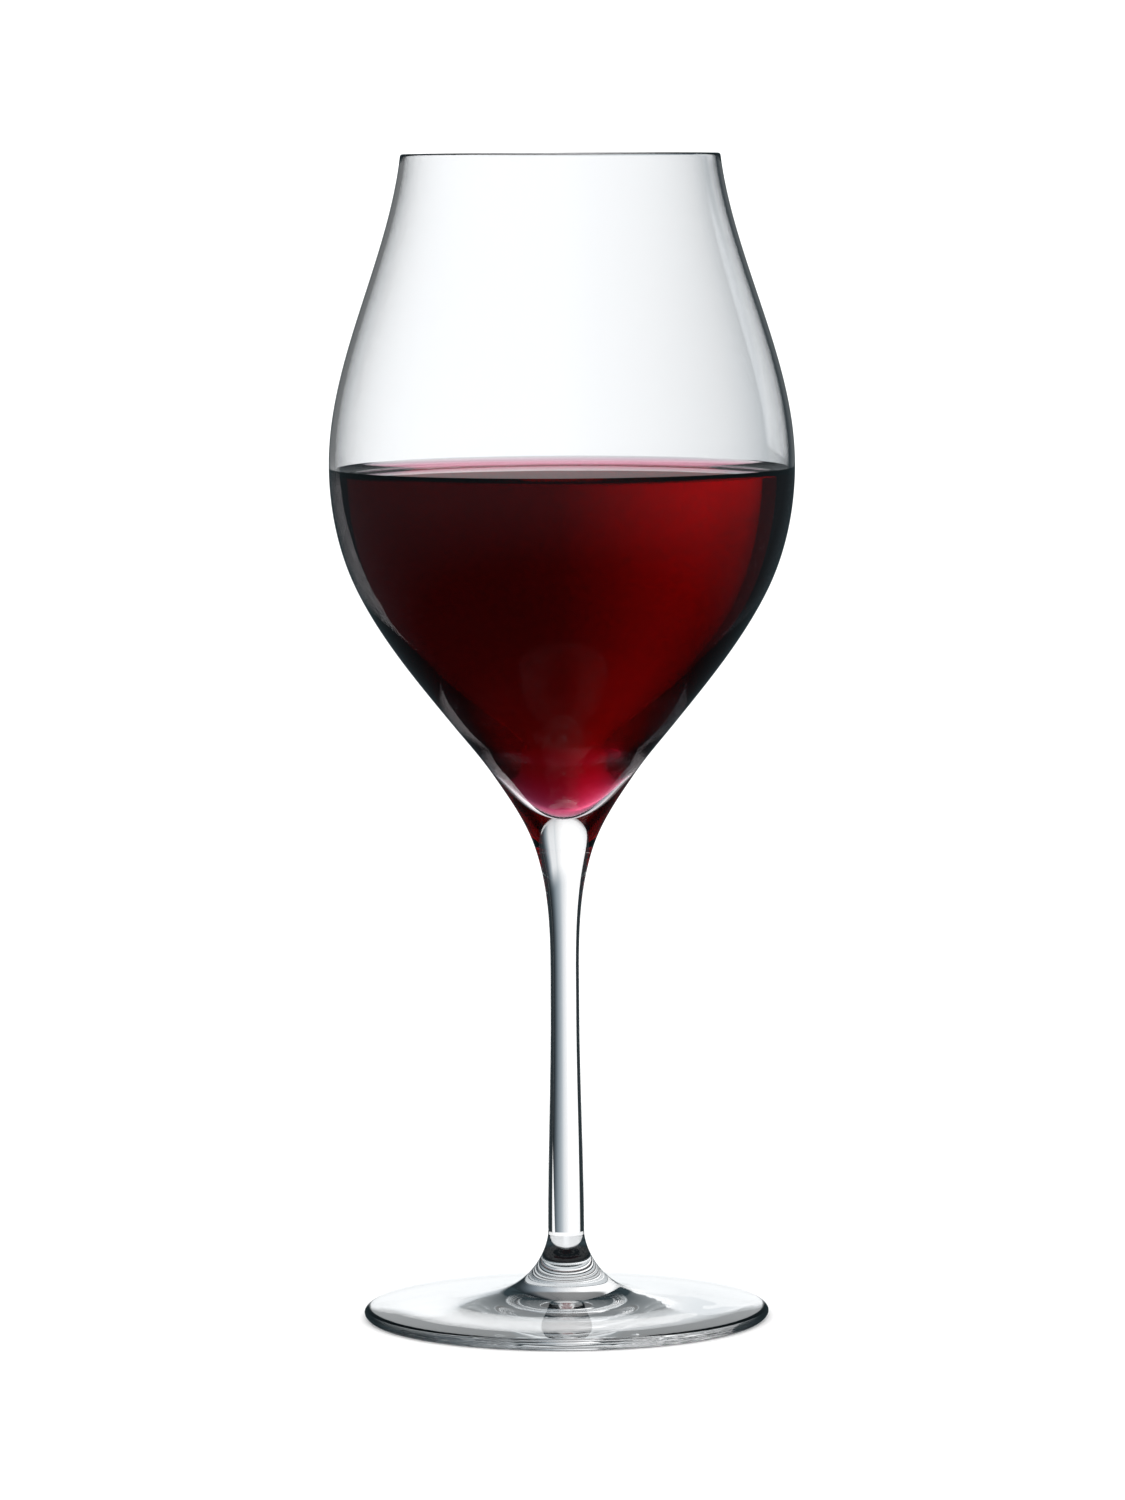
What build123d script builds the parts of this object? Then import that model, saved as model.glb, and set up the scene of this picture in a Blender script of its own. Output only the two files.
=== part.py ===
from build123d import *

import os
from math import cos, hypot, radians, sin

# A stemmed red-wine glass with a pour of wine in it. Three glass parts are fused end to end while hot: a pressed
# foot, a drawn solid stem and a blown bowl. All four solids are turned shapes about the vertical axis.
# Millimetres, +Z up, origin on the table under the middle of the foot.

# Foot
foot_radius = 40.1
foot_edge_thickness = 2.3
foot_edge_rounding = 1.3
resting_ring_width = 2.5
underside_hollow = 2.0
foot_slope_angle = 4.0
boss_skirt_radius = 13.5
boss_skirt_height = 5.0
boss_skirt_angle = 14.0
boss_waist_radius = 7.8
boss_waist_height = 8.3
boss_waist_angle = 45.0
foot_weld_height = 16.5
foot_weld_radius = 3.6
foot_weld_angle = 83.0

# Stem
stem_length = 77.0
stem_waist_up = 45.5
stem_waist_radius = 2.86

# Bowl, with heights counted from the weld to the stem
bowl_weld_radius = 5.75
bowl_weld_angle = 71.5
hip_up = 14.5
hip_radius = 13.95
hip_angle = 55.5
cone_up = 24.5
cone_radius = 21.9
cone_angle = 50.9
shoulder_up = 50.5
shoulder_radius = 40.2
shoulder_angle = 63.4
belly_up = 75.5
belly_radius = 45.8
bowl_height = 136.5
rim_radius = 31.4
rim_angle = 97.0

# Glass thickness, measured square to the wall, and straight down under the hollow
rim_wall = 1.0
belly_wall = 1.2
shoulder_wall = 1.7
cone_wall = 3.6
bottom_glass = 7.6

# The hollow's round bottom and the narrow well above it, with heights counted from the lowest point of the hollow
bottom_round_up = 3.9
bottom_round_radius = 5.6
bottom_round_angle = 51.0
well_up = 8.4
well_radius = 9.0
well_angle = 52.0

# Wine
wine_up = 75.1

UP = 90.0
LEVEL = 0.0
HANDLE_SHARE = 1 / 3

stem_base = foot_weld_height
bowl_base = stem_base + stem_length
rim_top = bowl_base + bowl_height
rim_rounding = rim_wall / 2


def smooth(stations):
    """Edges of a smooth outline through stations, each a radius, a height and the angle it runs at there.

    Between two stations the outline is one cubic curve that leaves and arrives along their angles, with
    handles a third as long as the straight line between them."""
    edges = []
    for (r0, z0, a0), (r1, z1, a1) in zip(stations[:-1], stations[1:]):
        handle = hypot(r1 - r0, z1 - z0) * HANDLE_SHARE
        leave = (r0 + handle * cos(radians(a0)), z0 + handle * sin(radians(a0)))
        arrive = (r1 - handle * cos(radians(a1)), z1 - handle * sin(radians(a1)))
        edges.append(Plane.XZ * Bezier((r0, z0), leave, arrive, (r1, z1)))
    return edges


def inside(station, wall):
    """The station of the inner outline that lies one wall thickness inside this one, square to it."""
    r, z, angle = station
    return (r - wall * sin(radians(angle)), z + wall * cos(radians(angle)), angle)


def straight(*points):
    """The straight edges that join points of radius and height."""
    return [Plane.XZ * Line(a, b) for a, b in zip(points[:-1], points[1:])]


def turned(edges):
    """The solid that a closed outline sweeps in one turn about the vertical axis."""
    return revolve(make_face(edges), Axis.Z)


def foot():
    """Pressed disc: a flat resting ring, a hollow underside, a rounded edge and a boss that flares to the stem."""
    ring_outer = foot_radius - foot_edge_rounding
    ring_inner = ring_outer - resting_ring_width
    underside = smooth([(0, underside_hollow, LEVEL), (ring_inner, 0, LEVEL)])
    ring = straight((ring_inner, 0), (ring_outer, 0))
    top = smooth(
        [
            (ring_outer, 0, LEVEL),
            (foot_radius, foot_edge_thickness / 2, UP),
            (ring_outer, foot_edge_thickness, 2 * UP - foot_slope_angle),
            (boss_skirt_radius, boss_skirt_height, 2 * UP - boss_skirt_angle),
            (boss_waist_radius, boss_waist_height, 2 * UP - boss_waist_angle),
            (foot_weld_radius, foot_weld_height, 2 * UP - foot_weld_angle),
        ]
    )
    close = straight((foot_weld_radius, foot_weld_height), (0, foot_weld_height), (0, underside_hollow))
    return turned(underside + ring + top + close)


def stem():
    """Solid drawn rod, waisted at mid length, as wide at each end as the part it is fused to."""
    side = smooth(
        [
            (foot_weld_radius, stem_base, UP),
            (stem_waist_radius, stem_base + stem_waist_up, UP),
            (bowl_weld_radius, bowl_base, bowl_weld_angle),
        ]
    )
    close = straight((bowl_weld_radius, bowl_base), (0, bowl_base), (0, stem_base), (foot_weld_radius, stem_base))
    return turned(side + close)


weld = (bowl_weld_radius, bowl_base, bowl_weld_angle)
hip = (hip_radius, bowl_base + hip_up, hip_angle)
cone = (cone_radius, bowl_base + cone_up, cone_angle)
shoulder = (shoulder_radius, bowl_base + shoulder_up, shoulder_angle)
belly = (belly_radius, bowl_base + belly_up, UP)
rim = (rim_radius, rim_top - rim_rounding, rim_angle)
inner_bottom = bowl_base + bottom_glass
inner_wall = [
    (0, inner_bottom, LEVEL),
    (bottom_round_radius, inner_bottom + bottom_round_up, bottom_round_angle),
    (well_radius, inner_bottom + well_up, well_angle),
    inside(cone, cone_wall),
    inside(shoulder, shoulder_wall),
    inside(belly, belly_wall),
    inside(rim, rim_wall),
]


def bowl():
    """Blown bowl, thick at the bottom and thin at the mouth, with a fire-polished round rim."""
    outer = smooth([weld, hip, cone, shoulder, belly, rim])
    inner_rim = inside(rim, rim_wall)
    lip = smooth([rim, (rim_radius - rim_rounding, rim_top, 2 * UP), (*inner_rim[:2], rim_angle + 2 * UP)])
    close = straight((0, inner_bottom), (0, bowl_base), (bowl_weld_radius, bowl_base))
    return turned(outer + lip + smooth(inner_wall) + close)


def wine():
    """The pour: all of the bowl's hollow that lies below the wine's level."""
    inner_rim = inner_wall[-1]
    close = straight((0, inner_bottom), (0, inner_rim[1]), inner_rim[:2])
    hollow = turned(smooth(inner_wall) + close)
    level = bowl_base + wine_up
    return split(hollow, Plane.XY.offset(level), keep=Keep.BOTTOM)


os.makedirs("parts", exist_ok=True)
export_step(foot(), "parts/foot.step")
export_step(stem(), "parts/stem.step")
export_step(bowl(), "parts/bowl.step")
export_step(wine(), "parts/wine.step")
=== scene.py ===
from math import cos, hypot, pi, radians, sin, tan

import bpy
import numpy as np
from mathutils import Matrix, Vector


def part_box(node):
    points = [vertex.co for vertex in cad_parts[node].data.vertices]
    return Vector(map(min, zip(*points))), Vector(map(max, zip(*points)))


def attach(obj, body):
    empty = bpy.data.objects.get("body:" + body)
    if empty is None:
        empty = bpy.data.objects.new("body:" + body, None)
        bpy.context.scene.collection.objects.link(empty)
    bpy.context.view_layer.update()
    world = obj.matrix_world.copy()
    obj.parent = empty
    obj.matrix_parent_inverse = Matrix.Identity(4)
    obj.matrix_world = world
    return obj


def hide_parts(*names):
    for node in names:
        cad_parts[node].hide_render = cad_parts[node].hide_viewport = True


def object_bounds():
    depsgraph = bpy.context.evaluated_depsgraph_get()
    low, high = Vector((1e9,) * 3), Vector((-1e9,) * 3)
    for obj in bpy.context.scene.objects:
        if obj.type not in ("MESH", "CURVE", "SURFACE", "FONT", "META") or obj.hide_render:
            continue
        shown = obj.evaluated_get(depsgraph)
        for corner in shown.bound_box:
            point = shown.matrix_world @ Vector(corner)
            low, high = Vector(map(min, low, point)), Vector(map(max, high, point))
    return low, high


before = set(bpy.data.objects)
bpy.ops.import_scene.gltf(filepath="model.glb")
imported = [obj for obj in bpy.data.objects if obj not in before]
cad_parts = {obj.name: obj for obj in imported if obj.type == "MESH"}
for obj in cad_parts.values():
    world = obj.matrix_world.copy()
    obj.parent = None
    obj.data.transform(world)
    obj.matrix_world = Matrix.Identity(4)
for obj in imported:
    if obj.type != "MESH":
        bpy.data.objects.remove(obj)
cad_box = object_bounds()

# --------------------------------------------------------------------------------------------------
# Foot. The real one is crystal glass, pressed hot into a disc with a boss at its middle, then
# fire-polished. It rests on a narrow flat ring near its edge, and its underside is hollow inside that
# ring. The boss is fused to the stem.

# One millimetre, in metres.
MM = 0.001
foot_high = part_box("foot")[1]
foot_radius = foot_high.x
foot_edge_thickness = 2.3 * MM
foot_edge_rounding = 1.3 * MM
foot_slope_angle = 4
resting_ring_width = 2.5 * MM
underside_hollow = 2.0 * MM
foot_weld_radius = 3.6 * MM
foot_weld_angle = 97

# Each fused face stands this far back from its joint, because two faces in one plane would flicker.
weld_gap = 0.01 * MM

# How many sides a turned piece has, enough for its edge to look round.
TURNS = 256


def outline(stations, steps=24):
    """Points of a smooth outline through stations, each a radius, a height and an angle in degrees.

    Between two stations it is one cubic curve that leaves and arrives along their angles, with handles a
    third as long as the straight line between them: (1-t)^3 a + 3 (1-t)^2 t b + 3 (1-t) t^2 c + t^3 d.
    The last point of each stretch is the first of the next, and is given once."""
    t = np.linspace(0, 1, steps + 1)[:, None]
    stretches = []
    for (r0, z0, angle0), (r1, z1, angle1) in zip(stations[:-1], stations[1:]):
        handle = hypot(r1 - r0, z1 - z0) / 3
        a = np.array([r0, z0])
        b = np.array([r0 + handle * cos(radians(angle0)), z0 + handle * sin(radians(angle0))])
        c = np.array([r1 - handle * cos(radians(angle1)), z1 - handle * sin(radians(angle1))])
        d = np.array([r1, z1])
        stretch = (1 - t) ** 3 * a + 3 * (1 - t) ** 2 * t * b + 3 * (1 - t) * t ** 2 * c + t ** 3 * d
        stretches.append(stretch if not stretches else stretch[1:])
    return np.vstack(stretches)


def flat_run(start, end, steps=2):
    """Points of a straight run: start + t (end - start), without start, which the run before it gives."""
    t = np.linspace(0, 1, steps + 1)[1:, None]
    return np.array(start) + t * (np.array(end) - np.array(start))


def turned(name, points):
    """A closed surface: an outline of radii and heights, from the axis at the bottom round to the axis
    again, turned about +Z. The outline's point (r, z) goes to (r cos a, r sin a, z) on side i, which is
    at the angle a = 2 pi i / TURNS. The outline's two ends are poles, and fans of triangles close them."""
    radius = points[1:-1, 0]
    height = points[1:-1, 1]
    angle = np.arange(TURNS) * 2 * pi / TURNS
    x = np.outer(radius, np.cos(angle))
    y = np.outer(radius, np.sin(angle))
    z = np.outer(height, np.ones(TURNS))
    poles = np.array([[0, 0, points[0, 1]], [0, 0, points[-1, 1]]])
    vertices = np.vstack([np.stack([x, y, z], axis=-1).reshape(-1, 3), poles])

    here = np.arange(TURNS)
    after = (here + 1) % TURNS
    ring = np.arange(len(radius) - 1)[:, None] * TURNS
    above = ring + TURNS
    quads = np.stack([ring + here, ring + after, above + after, above + here], axis=-1).reshape(-1, 4)
    last_ring = (len(radius) - 1) * TURNS
    low_pole = np.full(TURNS, len(radius) * TURNS)
    high_pole = low_pole + 1
    low_fan = np.stack([low_pole, after, here], axis=-1)
    high_fan = np.stack([high_pole, last_ring + here, last_ring + after], axis=-1)

    mesh = bpy.data.meshes.new(name)
    mesh.from_pydata(vertices.tolist(), [], low_fan.tolist() + quads.tolist() + high_fan.tolist())
    mesh.polygons.foreach_set("use_smooth", np.ones(len(mesh.polygons), bool))
    piece = bpy.data.objects.new(name, mesh)
    bpy.context.scene.collection.objects.link(piece)
    return piece


def sharpen(piece, corners):
    """Marks the rings at these corners, each a radius and a height, as sharp, so that the shading breaks
    there. An edge is part of such a ring where both its ends lie on the corner and it runs level."""
    mesh = piece.data
    near = 1e-7
    point = np.empty(len(mesh.vertices) * 3)
    mesh.vertices.foreach_get("co", point)
    point = point.reshape(-1, 3)
    radius = np.hypot(point[:, 0], point[:, 1])
    height = point[:, 2]
    on_corner = np.zeros(len(point), bool)
    for corner_radius, corner_height in corners:
        on_corner |= np.hypot(radius - corner_radius, height - corner_height) < near
    end = np.empty(len(mesh.edges) * 2, int)
    mesh.edges.foreach_get("vertices", end)
    first, second = end.reshape(-1, 2).T
    level = np.hypot(radius[first] - radius[second], height[first] - height[second]) < near
    sharp = on_corner[first] & on_corner[second] & level
    mesh.attributes.new("sharp_edge", "BOOLEAN", "EDGE").data.foreach_set("value", sharp)


def linear(code):
    """The linear colour of an sRGB hex code, with full alpha."""
    shade = np.array([int(code[i:i + 2], 16) for i in (1, 3, 5)]) / 255
    shade = np.where(shade <= 0.04045, shade / 12.92, ((shade + 0.055) / 1.055) ** 2.4)
    return (*shade.tolist(), 1)


def add(tree, kind, settings=None, inputs=None, stops=()):
    """Adds a node. settings are its own properties, and inputs gives each input a value or the socket
    that feeds it. stops are a colour ramp's places and linear colours, from low to high."""
    node = tree.nodes.new(kind)
    for name, value in (settings or {}).items():
        setattr(node, name, value)
    for name, value in (inputs or {}).items():
        if isinstance(value, bpy.types.NodeSocket):
            tree.links.new(value, node.inputs[name])
        else:
            node.inputs[name].default_value = value
    if stops:
        marks = node.color_ramp.elements
        marks.remove(marks[1])
        marks[0].position = stops[0][0]
        marks[0].color = (*stops[0][1], 1)
        for place, colour in stops[1:]:
            marks.new(place).color = (*colour, 1)
    return node


def new_material(name):
    """A material with an empty node tree, and that tree."""
    material = bpy.data.materials.new(name)
    material.use_nodes = True
    material.node_tree.nodes.clear()
    return material, material.node_tree


glass_ior = 1.52
glass_tint = linear("#fdfeff")


def clear_glass(name, wave_width, wave_depth):
    """Crystal glass with a fire-polished skin: colourless, with no roughness at all. Waves left in the
    soft glass, too shallow to feel, make what is seen through it swim a little and keep its bright lines
    from being perfect."""
    material, tree = new_material(name)
    place = add(tree, "ShaderNodeTexCoord").outputs["Object"]
    wave = add(tree, "ShaderNodeTexNoise", {}, {"Vector": place, "Scale": 1 / wave_width, "Detail": 1.0})
    bump = add(tree, "ShaderNodeBump", {},
               {"Strength": 1.0, "Distance": wave_depth, "Height": wave.outputs["Fac"]})
    surface = add(tree, "ShaderNodeBsdfPrincipled", {},
                  {"Base Color": glass_tint, "Roughness": 0.0, "IOR": glass_ior,
                   "Transmission Weight": 1.0, "Normal": bump.outputs["Normal"]})
    add(tree, "ShaderNodeOutputMaterial", {}, {"Surface": surface.outputs[0]})
    return material


def fused_glass():
    """The face where two hot parts were pushed together. Glass runs on through it, so nothing shows."""
    material, tree = new_material("fused_glass_face")
    surface = add(tree, "ShaderNodeBsdfPrincipled", {}, {"Alpha": 0.0, "IOR": glass_ior, "Roughness": 0.0})
    add(tree, "ShaderNodeOutputMaterial", {}, {"Surface": surface.outputs[0]})
    return material


def finish_glass(piece, skin, fused_heights):
    """Gives the piece its skin, and its faces that lie level at a fused height the fused material."""
    mesh = piece.data
    mesh.materials.append(skin)
    mesh.materials.append(fused_face)
    centre = np.empty(len(mesh.polygons) * 3)
    mesh.polygons.foreach_get("center", centre)
    normal = np.empty(len(mesh.polygons) * 3)
    mesh.polygons.foreach_get("normal", normal)
    nearly_upright = 0.999
    near = 1e-6
    level = np.abs(normal[2::3]) > nearly_upright
    fused = np.zeros(len(level), bool)
    for height in fused_heights:
        fused |= level & (np.abs(centre[2::3] - height) < near)
    mesh.polygons.foreach_set("material_index", fused.astype(int))


fused_face = fused_glass()
ring_outer = foot_radius - foot_edge_rounding
ring_inner = ring_outer - resting_ring_width
foot_weld_z = foot_high.z - weld_gap

# Stations of the foot's top, each a radius, a height and the outline's angle there.
foot_top = [
    (ring_outer, 0, 0),
    (foot_radius, foot_edge_thickness / 2, 90),
    (ring_outer, foot_edge_thickness, 180 - foot_slope_angle),
    (13.5 * MM, 5.0 * MM, 166),
    (7.8 * MM, 8.3 * MM, 135),
    (foot_weld_radius, foot_weld_z, foot_weld_angle),
]
foot_points = np.vstack([
    outline([(0, underside_hollow, 0), (ring_inner, 0, 0)]),
    flat_run((ring_inner, 0), (ring_outer, 0)),
    outline(foot_top)[1:],
    flat_run((foot_weld_radius, foot_weld_z), (0, foot_weld_z)),
])
foot = turned("foot_glass", foot_points)
sharpen(foot, [(ring_inner, 0), (foot_weld_radius, foot_weld_z)])

# A pressed part cools against iron, so its waves are the deepest of the three.
foot_skin = clear_glass("pressed_crystal_glass", wave_width=14 * MM, wave_depth=0.02 * MM)
finish_glass(foot, foot_skin, [foot_weld_z])
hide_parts("foot")
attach(foot, "root")

# --------------------------------------------------------------------------------------------------
# Stem. A solid rod of the same glass, drawn hot out of the bowl's bottom, so it is waisted and flares at
# the top. Its lower end is fused to the foot's boss.

stem_low, stem_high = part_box("stem")
stem_waist_up = 45.5 * MM
stem_waist_radius = 2.86 * MM
bowl_weld_radius = 5.75 * MM
bowl_weld_angle = 71.5
stem_base = stem_low.z + weld_gap
stem_top = stem_high.z - weld_gap
stem_side = [
    (foot_weld_radius, stem_base, 90),
    (stem_waist_radius, stem_low.z + stem_waist_up, 90),
    (bowl_weld_radius, stem_top, bowl_weld_angle),
]
stem_points = np.vstack([
    np.array([[0, stem_base]]),
    flat_run((0, stem_base), (foot_weld_radius, stem_base)),
    outline(stem_side, steps=48)[1:],
    flat_run((bowl_weld_radius, stem_top), (0, stem_top)),
])
stem = turned("stem_glass", stem_points)
sharpen(stem, [(foot_weld_radius, stem_base), (bowl_weld_radius, stem_top)])
stem_skin = clear_glass("drawn_crystal_glass", wave_width=9 * MM, wave_depth=0.01 * MM)
finish_glass(stem, stem_skin, [stem_base, stem_top])
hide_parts("stem")
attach(stem, "root")

# --------------------------------------------------------------------------------------------------
# Bowl. Crystal glass, blown into a turning mould, so it is thick at the bottom and thin at the mouth. It
# is cut off hot at the mouth and fire-polished to a round rim, and its bottom is fused to the stem.

bowl_low, bowl_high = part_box("bowl")
bowl_base = bowl_low.z
bowl_weld_z = bowl_base + weld_gap
rim_wall = 1.0 * MM
belly_wall = 1.2 * MM
shoulder_wall = 1.7 * MM
cone_wall = 3.6 * MM
bottom_glass = 7.6 * MM


def inside_of(station, wall):
    """The station one wall thickness inside this one, square to the outline:
    (r - wall sin angle, z + wall cos angle)."""
    r, z, angle = station
    return (r - wall * sin(radians(angle)), z + wall * cos(radians(angle)), angle)


# Stations of the bowl's two walls and its lip, each a radius, a height and the outline's angle there.
cone = (21.9 * MM, bowl_base + 24.5 * MM, 50.9)
shoulder = (40.2 * MM, bowl_base + 50.5 * MM, 63.4)
belly = (bowl_high.x, bowl_base + 75.5 * MM, 90)
rim = (31.4 * MM, bowl_high.z - rim_wall / 2, 97)
inner_rim = inside_of(rim, rim_wall)
inner_bottom = bowl_base + bottom_glass
outer_wall = [
    (bowl_weld_radius, bowl_weld_z, bowl_weld_angle),
    (13.95 * MM, bowl_base + 14.5 * MM, 55.5),
    cone,
    shoulder,
    belly,
    rim,
]
lip = [
    rim,
    (rim[0] - rim_wall / 2, bowl_high.z, 180),
    (inner_rim[0], inner_rim[1], 277),
]
inner_wall = [
    (0, inner_bottom, 0),
    (5.6 * MM, inner_bottom + 3.9 * MM, 51),
    (9.0 * MM, inner_bottom + 8.4 * MM, 52),
    inside_of(cone, cone_wall),
    inside_of(shoulder, shoulder_wall),
    inside_of(belly, belly_wall),
    inner_rim,
]
bowl_points = np.vstack([
    np.array([[0, bowl_weld_z]]),
    flat_run((0, bowl_weld_z), (bowl_weld_radius, bowl_weld_z)),
    outline(outer_wall, steps=36)[1:],
    outline(lip, steps=8)[1:],
    outline(inner_wall, steps=36)[::-1][1:],
])
bowl = turned("bowl_glass", bowl_points)
sharpen(bowl, [(bowl_weld_radius, bowl_weld_z)])
bowl_skin = clear_glass("blown_crystal_glass", wave_width=22 * MM, wave_depth=0.01 * MM)
finish_glass(bowl, bowl_skin, [bowl_weld_z])
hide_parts("bowl")
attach(bowl, "root")

# --------------------------------------------------------------------------------------------------
# Wine. A pour of red wine, up to just under the belly's widest ring. It wets the glass, so no air lies
# between it and the wall, and its surface climbs the wall a little way all round.

wine_edge_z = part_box("wine")[1].z
climb = 1.5 * MM
climb_reach = 1.6 * MM
wine_level = wine_edge_z - climb

# The wine's side reaches this far into the wall. That is how a renderer joins a liquid to glass.
into_wall = 0.12 * MM

# The side is the bowl's inner wall, moved out square to itself, up to just under the wine's edge.
edge_clearance = 0.05 * MM
wall_points = outline(inner_wall, steps=60)
wetted = wall_points[wall_points[:, 1] < wine_edge_z - edge_clearance]
along = np.gradient(wetted, axis=0)
along /= np.hypot(*along.T)[:, None]
wine_side = wetted + into_wall * np.stack([along[:, 1], -along[:, 0]], axis=-1)
wine_side[0] = (0, wetted[0, 1] - into_wall)

# The surface stands climb x e^(-d / climb_reach) above the level at a distance d from its edge. Its rings
# crowd towards the edge, where it bends: ring i of n is at the edge's radius x (1 - (i / n) ^ crowding).
crowding = 2.2
surface_rings = 60
edge_radius = np.interp(wine_edge_z, wall_points[:, 1], wall_points[:, 0]) + into_wall
ring_radius = edge_radius * (1 - np.linspace(0, 1, surface_rings) ** crowding)
ring_height = wine_level + climb * np.exp(-(edge_radius - ring_radius) / climb_reach)
wine_surface = np.stack([ring_radius, ring_height], axis=-1)
wine = turned("wine", np.vstack([wine_side, wine_surface]))
sharpen(wine, [wine_surface[0]])


# Water has 1.333, and wine's alcohol, acids and sugar raise it a little.
wine_ior = 1.345
ripple_width = 12 * MM
ripple_depth = 0.008 * MM


def red_wine():
    """Red wine: clear, with no haze. It takes green and blue out of light within a few millimetres and
    red far more slowly, so it is almost black where it is deep and a bright red where it is thin. Its
    surface holds a ripple too shallow to feel, which softens what the wine shows."""
    # How much red, green and blue a metre of wine takes out, as powers of e.
    absorbs = np.array([33, 330, 230])
    strongest = int(absorbs.max())
    passes = (*(1 - absorbs / strongest).tolist(), 1)
    material, tree = new_material("red_wine")
    place = add(tree, "ShaderNodeTexCoord").outputs["Object"]
    wave = add(tree, "ShaderNodeTexNoise", {},
               {"Vector": place, "Scale": 1 / ripple_width, "Detail": 1.0})
    ripple = add(tree, "ShaderNodeBump", {},
                 {"Strength": 1.0, "Distance": ripple_depth, "Height": wave.outputs["Fac"]})
    surface = add(tree, "ShaderNodeBsdfPrincipled", {},
                  {"Base Color": linear("#ffffff"), "Roughness": 0.0, "IOR": wine_ior,
                   "Transmission Weight": 1.0, "Normal": ripple.outputs["Normal"]})
    body = add(tree, "ShaderNodeVolumeAbsorption", {}, {"Color": passes, "Density": strongest})
    add(tree, "ShaderNodeOutputMaterial", {}, {"Surface": surface.outputs[0], "Volume": body.outputs[0]})
    return material


wine.data.materials.append(red_wine())
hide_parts("wine")
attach(wine, "root")

# --------------------------------------------------------------------------------------------------
# Studio. The glass stands on white paper, in front of plain white. What shows inside its outline is lit
# on its own: a graded panel close behind it, dark posts at both sides that draw its dark edges, and for
# reflections a nearly dark room.

scene = bpy.context.scene
scene.view_settings.view_transform = "Standard"

# Light crosses many faces of glass and wine before it comes out.
scene.cycles.max_bounces = 24
scene.cycles.transmission_bounces = 24
scene.cycles.glossy_bounces = 12

# The camera stands almost six glass heights away, a little above the rim, and looks down at the glass. In
# the order ZXY its last angle rolls it about its own line of sight.
glass_height = cad_box[1][2] - cad_box[0][2]
camera_away = 5.836 * glass_height
camera_up = 1.02 * glass_height
camera_aside = -0.2 * MM
looks_down = 5.185
rolls = -0.32
camera_data = bpy.data.cameras.new("camera")
camera_data.lens = 164.13
camera_data.sensor_width = 36
camera_data.clip_start = 0.01
camera_data.clip_end = 100
camera = bpy.data.objects.new("camera", camera_data)
camera.location = (camera_aside, -camera_away, camera_up)
camera.rotation_mode = "ZXY"
camera.rotation_euler = (radians(90 - looks_down), 0, radians(rolls))
scene.collection.objects.link(camera)
scene.camera = camera


def flat_sheet(name, corners):
    """One flat face through four corners, linked to the scene."""
    mesh = bpy.data.meshes.new(name)
    mesh.from_pydata(corners, [], [(0, 1, 2, 3)])
    sheet = bpy.data.objects.new(name, mesh)
    scene.collection.objects.link(sheet)
    return sheet


def white_paper():
    """Uncoated white paper: bright and quite matt."""
    material, tree = new_material("white_paper")
    paper = add(tree, "ShaderNodeBsdfDiffuse", {}, {"Color": linear("#f3f3f3")})
    add(tree, "ShaderNodeOutputMaterial", {}, {"Surface": paper.outputs[0]})
    return material


# The paper reaches so far that its edge never shows. The glass neither mirrors it nor shows it.
far = 30.0
floor = flat_sheet("floor", [(-far, -far, 0), (far, -far, 0), (far, far, 0), (-far, far, 0)])
floor.data.materials.append(white_paper())
floor.visible_glossy = False
floor.visible_transmission = False

# The panel stands this far behind the glass's axis, and reaches this many degrees to each side of it.
panel_away = 0.35
panel_reach = 40
panel_half = panel_away * tan(radians(panel_reach))
panel_low = -0.048
panel_high = 0.45

# The panel's light across, as degrees to the right of the middle and a strength. One light is for what is
# seen through the stem and the foot, one through the wine, and one through the empty part of the bowl.
stem_light = [
    (-40, 1.2), (-36, 1.4), (-10, 1.4), (-6, 1.1), (0, 0.92), (4, 0.82), (8, 0.62), (12, 0.48), (16, 0.39),
    (20, 0.29), (24, 0.19), (28, 0.11), (34, 0.04), (40, 0.01),
]
wine_light = [
    (-40, 0.02), (-31.6, 0.03), (-30.8, 1.1), (-26, 2.1), (-20, 2.65), (-16, 3.2), (-12, 3.05),
    (-8, 2.5), (-4, 1.47), (0, 0.66), (4, 0.43), (8, 0.33), (12, 0.28), (16, 0.19), (20, 0.12),
    (26, 0.08), (31, 0.04), (40, 0.01),
]
bowl_light = [
    (-40, 1.1), (-30, 1.2), (-14, 1.25), (0, 1.22), (4, 1.12), (8, 0.98), (12, 0.82), (12.6, 0.92),
    (20, 0.9), (26, 0.4), (32, 0.1), (40, 0.02),
]

# How the wine's light falls off upwards, as a height in millimetres and a strength, and its least light.
wine_light_up = [
    (0, 1.35), (158, 1.3), (172, 1.0), (190, 0.62), (212, 0.46), (238, 0.35), (265, 0.27), (300, 0.2),
    (350, 0.15), (420, 0.12), (450, 0.1),
]
wine_light_least = (0.18, 0.21, 0.24)

# Below the first of these heights a ray sees the stem's light, above the second the bowl's or the wine's.
stem_light_end = 0.11
bowl_light_start = 0.16

# The panel's ramps hold shares of the strongest light, from 0 to 1.
brightest = 3.3
brightest_up = 1.35

# The share of the panel's light that a ray sees once it was reflected inside the bowl's wall.
in_wall_share = 0.2

# How often a ray was reflected, or crossed a face, is a whole number. It is above ONCE from 1 up, above
# TWICE from 2 up, and above EMPTY_BOWL when it has crossed more than an empty bowl's four faces.
ONCE = 0.5
TWICE = 1.5
EMPTY_BOWL = 4.5

# The places of the vector sockets among a Mix node's own.
VECTOR_A = 4
VECTOR_B = 5
VECTOR_RESULT = 1


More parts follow.
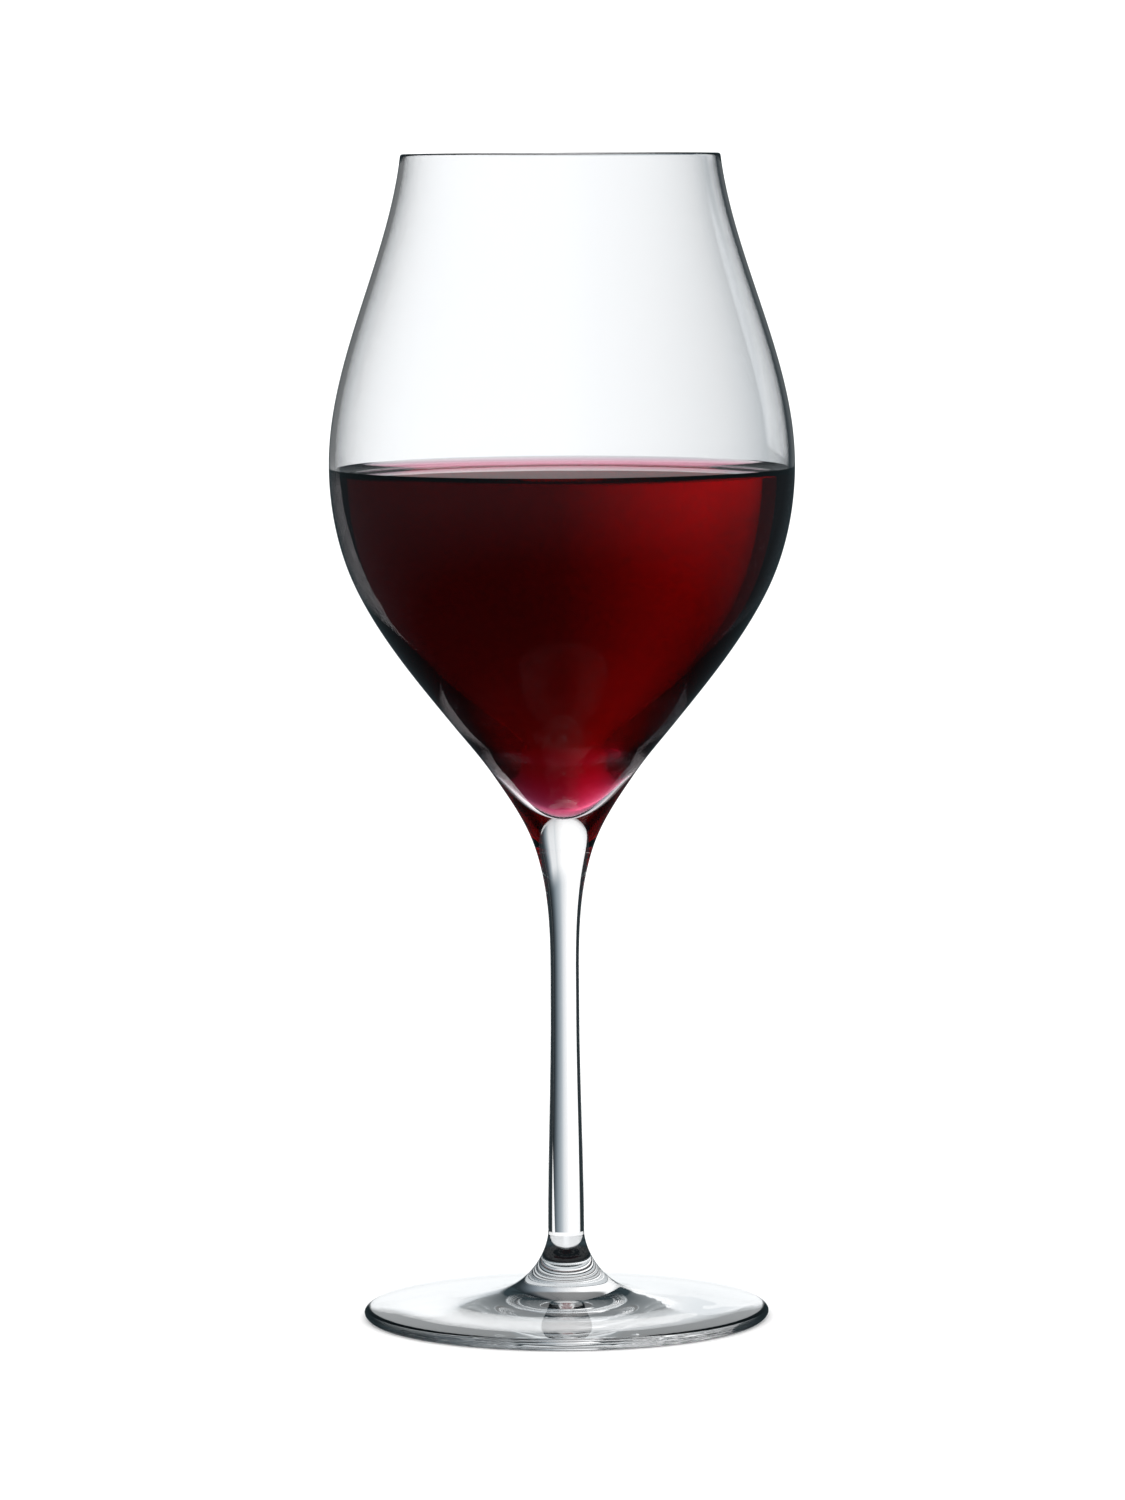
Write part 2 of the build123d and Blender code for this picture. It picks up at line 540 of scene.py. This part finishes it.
def bluish(strength):
    """The linear colour of a light of this strength. The dimmer it is, the bluer: red keeps 0.66 and
    green 0.85 of the strength when it is nearly out, and both keep all of it from 1 up."""
    bright = min(1, strength)
    return (strength * (0.66 + 0.34 * bright), strength * (0.85 + 0.15 * bright), strength)


def across_stops(light):
    """Ramp stops for one of the panel's lights, from the panel's left edge, 0, to its right edge, 1."""
    return [((angle + panel_reach) / (2 * panel_reach),
             tuple(part / brightest for part in bluish(strength)))
            for angle, strength in light]


def diffuser():
    """A sheet of matt diffusing film, lit from behind by lamps that stand to its left, so its light is
    graded from side to side. It has three gradings, one each for the stem, the wine and the empty bowl,
    because no one grading suits them all. A ray that was reflected inside the bowl's wall sees only a
    share of the light, which draws the bowl's thin dark edges."""
    material, tree = new_material("diffuser")
    place = add(tree, "ShaderNodeTexCoord").outputs["Object"]
    axes = add(tree, "ShaderNodeSeparateXYZ", {}, {"Vector": place})
    slope = add(tree, "ShaderNodeMath", {"operation": "DIVIDE"}, {0: axes.outputs["X"], 1: panel_away})
    angle = add(tree, "ShaderNodeMath", {"operation": "ARCTANGENT"}, {0: slope.outputs[0]})
    across = add(tree, "ShaderNodeMath", {"operation": "MULTIPLY_ADD"},
                 {0: angle.outputs[0], 1: 0.5 / radians(panel_reach), 2: 0.5}).outputs[0]
    up = add(tree, "ShaderNodeMapRange", {},
             {"Value": axes.outputs["Z"], "From Min": 0.0, "From Max": panel_high}).outputs[0]
    light_path = add(tree, "ShaderNodeLightPath")

    stem_share = add(tree, "ShaderNodeValToRGB", {}, {"Fac": across}, across_stops(stem_light))
    behind_stem = add(tree, "ShaderNodeVectorMath", {"operation": "SCALE"},
                      {0: stem_share.outputs[0], "Scale": brightest})

    wine_share = add(tree, "ShaderNodeValToRGB", {}, {"Fac": across}, across_stops(wine_light))
    up_stops = [(height * MM / panel_high, (strength / brightest_up,) * 3)
                for height, strength in wine_light_up]
    up_share = add(tree, "ShaderNodeValToRGB", {}, {"Fac": up}, up_stops)
    both_shares = add(tree, "ShaderNodeVectorMath", {"operation": "MULTIPLY"},
                      {0: wine_share.outputs[0], 1: up_share.outputs[0]})
    behind_wine = add(tree, "ShaderNodeVectorMath", {"operation": "MULTIPLY_ADD"},
                      {0: both_shares.outputs[0], 1: (brightest * brightest_up,) * 3, 2: wine_light_least})

    bowl_share = add(tree, "ShaderNodeValToRGB", {}, {"Fac": across}, across_stops(bowl_light))
    in_wall = add(tree, "ShaderNodeMath", {"operation": "GREATER_THAN"},
                  {0: light_path.outputs["Glossy Depth"], 1: ONCE})
    bowl_strength = add(tree, "ShaderNodeMath", {"operation": "MULTIPLY_ADD"},
                        {0: in_wall.outputs[0], 1: (in_wall_share - 1) * brightest, 2: brightest})
    behind_bowl = add(tree, "ShaderNodeVectorMath", {"operation": "SCALE"},
                      {0: bowl_share.outputs[0], "Scale": bowl_strength.outputs[0]})

    through_wine = add(tree, "ShaderNodeMath", {"operation": "GREATER_THAN"},
                       {0: light_path.outputs["Transmission Depth"], 1: EMPTY_BOWL})
    high_light = add(tree, "ShaderNodeMix", {"data_type": "VECTOR"},
                     {"Factor": through_wine.outputs[0], VECTOR_A: behind_bowl.outputs[0],
                      VECTOR_B: behind_wine.outputs[0]})
    high_share = add(tree, "ShaderNodeMapRange", {"interpolation_type": "SMOOTHSTEP"},
                     {"Value": axes.outputs["Z"], "From Min": stem_light_end,
                      "From Max": bowl_light_start})
    light = add(tree, "ShaderNodeMix", {"data_type": "VECTOR"},
                {"Factor": high_share.outputs[0], VECTOR_A: behind_stem.outputs[0],
                 VECTOR_B: high_light.outputs[VECTOR_RESULT]})
    glow = add(tree, "ShaderNodeEmission", {}, {"Color": light.outputs[VECTOR_RESULT], "Strength": 1.0})
    add(tree, "ShaderNodeOutputMaterial", {}, {"Surface": glow.outputs[0]})
    return material


# Only rays that have gone through glass see the panel.
panel_corners = [
    (-panel_half, panel_away, panel_low), (panel_half, panel_away, panel_low),
    (panel_half, panel_away, panel_high), (-panel_half, panel_away, panel_high),
]
panel = flat_sheet("panel", panel_corners)
panel.data.materials.append(diffuser())
panel.visible_camera = False
panel.visible_diffuse = False
panel.visible_glossy = False

# The room round the panel, for rays that went straight through the glass. Its strengths go by degrees
# away from straight behind, with two dark posts on each side, and by degrees above level. The posts stand
# between 16 degrees below level and 58 above, and the room dims straight down and above 58 degrees.
posts = [
    (0, 1.0), (39, 1.0), (41, 0.01), (72, 0.01), (77, 0.95), (103, 0.95), (108, 0.05), (120, 0.05),
    (124, 1.0), (180, 1.0),
]
beyond_posts = [(-90, 1.0), (-16, 1.0), (-12, 0.0), (50, 0.0), (58, 1.0), (90, 1.0)]
open_sky = [(-90, 0.05), (-72, 0.05), (-55, 1.0), (40, 1.0), (58, 0.45), (90, 0.45)]
post_black = (0.010, 0.016, 0.019)
room_strength = 1.1

# The room for reflected rays: nearly dark, with light from high above, a tall window straight behind, and
# for rays reflected twice a lit table that runs away behind the glass, which whitens the boss.
dark_room = (0.035, 0.052, 0.06)
high_lamp = (0.6, 0.6, 0.6)
reflected_room = [
    (-90, (0.004, 0.005, 0.006)), (-40, (0.006, 0.007, 0.008)), (-12, dark_room), (50, dark_room),
    (62, high_lamp), (90, high_lamp),
]
window_wide = [(0, 1.0), (4, 1.0), (9, 0.0), (180, 0.0)]
window_tall = [(-90, 0.0), (-16, 0.0), (-12, 1.0), (42, 1.0), (52, 0.0), (90, 0.0)]
table_wide = [(0, 1.0), (55, 1.0), (70, 0.0), (180, 0.0)]
table_deep = [(-90, 0.0), (-70, 0.0), (-60, 0.8), (-18, 0.8), (-12, 0.0), (90, 0.0)]
window_light = (0.9, 0.94, 0.96)

# The eye and the paper see one even white, strong enough to leave hardly a shadow.
white_strength = 1.5


def turn_stops(light):
    """Ramp stops over the turn away from straight behind, from 0 to 180 degrees."""
    return [(angle / 180, (strength,) * 3) for angle, strength in light]


def lift_stops(light):
    """Ramp stops over the lift above level, from -90 to 90 degrees."""
    return [((angle + 90) / 180, (strength,) * 3) for angle, strength in light]


def white_studio():
    """The world: white for the eye and the paper, the room with posts for rays straight through the
    glass, and the dark room for reflected rays."""
    world = bpy.data.worlds.new("studio")
    world.use_nodes = True
    world.cycles.sampling_method = "NONE"
    tree = world.node_tree
    tree.nodes.clear()
    light_path = add(tree, "ShaderNodeLightPath")
    way = add(tree, "ShaderNodeTexCoord").outputs["Generated"]
    axes = add(tree, "ShaderNodeSeparateXYZ", {}, {"Vector": way})
    azimuth = add(tree, "ShaderNodeMath", {"operation": "ARCTAN2"},
                  {0: axes.outputs["X"], 1: axes.outputs["Y"]})
    either_side = add(tree, "ShaderNodeMath", {"operation": "ABSOLUTE"}, {0: azimuth.outputs[0]})
    turn = add(tree, "ShaderNodeMath", {"operation": "MULTIPLY"},
               {0: either_side.outputs[0], 1: 1 / pi}).outputs[0]
    elevation = add(tree, "ShaderNodeMath", {"operation": "ARCSINE"}, {0: axes.outputs["Z"]})
    lift = add(tree, "ShaderNodeMath", {"operation": "MULTIPLY_ADD"},
               {0: elevation.outputs[0], 1: 1 / pi, 2: 0.5}).outputs[0]

    between_posts = add(tree, "ShaderNodeValToRGB", {}, {"Fac": turn}, turn_stops(posts))
    over_or_under = add(tree, "ShaderNodeValToRGB", {}, {"Fac": lift}, lift_stops(beyond_posts))
    sky = add(tree, "ShaderNodeValToRGB", {}, {"Fac": lift}, lift_stops(open_sky))
    no_post = add(tree, "ShaderNodeMath", {"operation": "MAXIMUM"},
                  {0: between_posts.outputs[0], 1: over_or_under.outputs[0]})
    room_share = add(tree, "ShaderNodeMath", {"operation": "MULTIPLY"},
                     {0: no_post.outputs[0], 1: sky.outputs[0]})
    room_colour = add(tree, "ShaderNodeMix", {"data_type": "VECTOR"},
                      {"Factor": room_share.outputs[0], VECTOR_A: post_black, VECTOR_B: (1, 1, 1)})

    room_stops = [((angle + 90) / 180, colour) for angle, colour in reflected_room]
    dark = add(tree, "ShaderNodeValToRGB", {}, {"Fac": lift}, room_stops)
    window_across = add(tree, "ShaderNodeValToRGB", {}, {"Fac": turn}, turn_stops(window_wide))
    window_up = add(tree, "ShaderNodeValToRGB", {}, {"Fac": lift}, lift_stops(window_tall))
    table_across = add(tree, "ShaderNodeValToRGB", {}, {"Fac": turn}, turn_stops(table_wide))
    table_down = add(tree, "ShaderNodeValToRGB", {}, {"Fac": lift}, lift_stops(table_deep))
    window = add(tree, "ShaderNodeMath", {"operation": "MULTIPLY"},
                 {0: window_across.outputs[0], 1: window_up.outputs[0]})
    table = add(tree, "ShaderNodeMath", {"operation": "MULTIPLY"},
                {0: table_across.outputs[0], 1: table_down.outputs[0]})
    reflected_twice = add(tree, "ShaderNodeMath", {"operation": "GREATER_THAN"},
                          {0: light_path.outputs["Glossy Depth"], 1: TWICE})
    table_seen = add(tree, "ShaderNodeMath", {"operation": "MULTIPLY"},
                     {0: reflected_twice.outputs[0], 1: table.outputs[0]})
    lit = add(tree, "ShaderNodeMath", {"operation": "MAXIMUM"},
              {0: window.outputs[0], 1: table_seen.outputs[0]})
    reflected_colour = add(tree, "ShaderNodeMix", {"data_type": "VECTOR"},
                           {"Factor": lit.outputs[0], VECTOR_A: dark.outputs[0], VECTOR_B: window_light})

    white = add(tree, "ShaderNodeBackground", {}, {"Color": linear("#ffffff"), "Strength": white_strength})
    straight = add(tree, "ShaderNodeBackground", {},
                   {"Color": room_colour.outputs[VECTOR_RESULT], "Strength": room_strength})
    reflected = add(tree, "ShaderNodeBackground", {},
                    {"Color": reflected_colour.outputs[VECTOR_RESULT], "Strength": 1.0})
    was_reflected = add(tree, "ShaderNodeMath", {"operation": "GREATER_THAN"},
                        {0: light_path.outputs["Glossy Depth"], 1: ONCE})
    eye_or_paper = add(tree, "ShaderNodeMath", {"operation": "MAXIMUM"},
                       {0: light_path.outputs["Is Camera Ray"], 1: light_path.outputs["Is Diffuse Ray"]})
    through_glass = add(tree, "ShaderNodeMixShader", {},
                        {"Fac": was_reflected.outputs[0], 1: straight.outputs[0], 2: reflected.outputs[0]})
    room = add(tree, "ShaderNodeMixShader", {},
               {"Fac": eye_or_paper.outputs[0], 1: through_glass.outputs[0], 2: white.outputs[0]})
    add(tree, "ShaderNodeOutputWorld", {}, {"Surface": room.outputs[0]})
    return world


scene.world = white_studio()
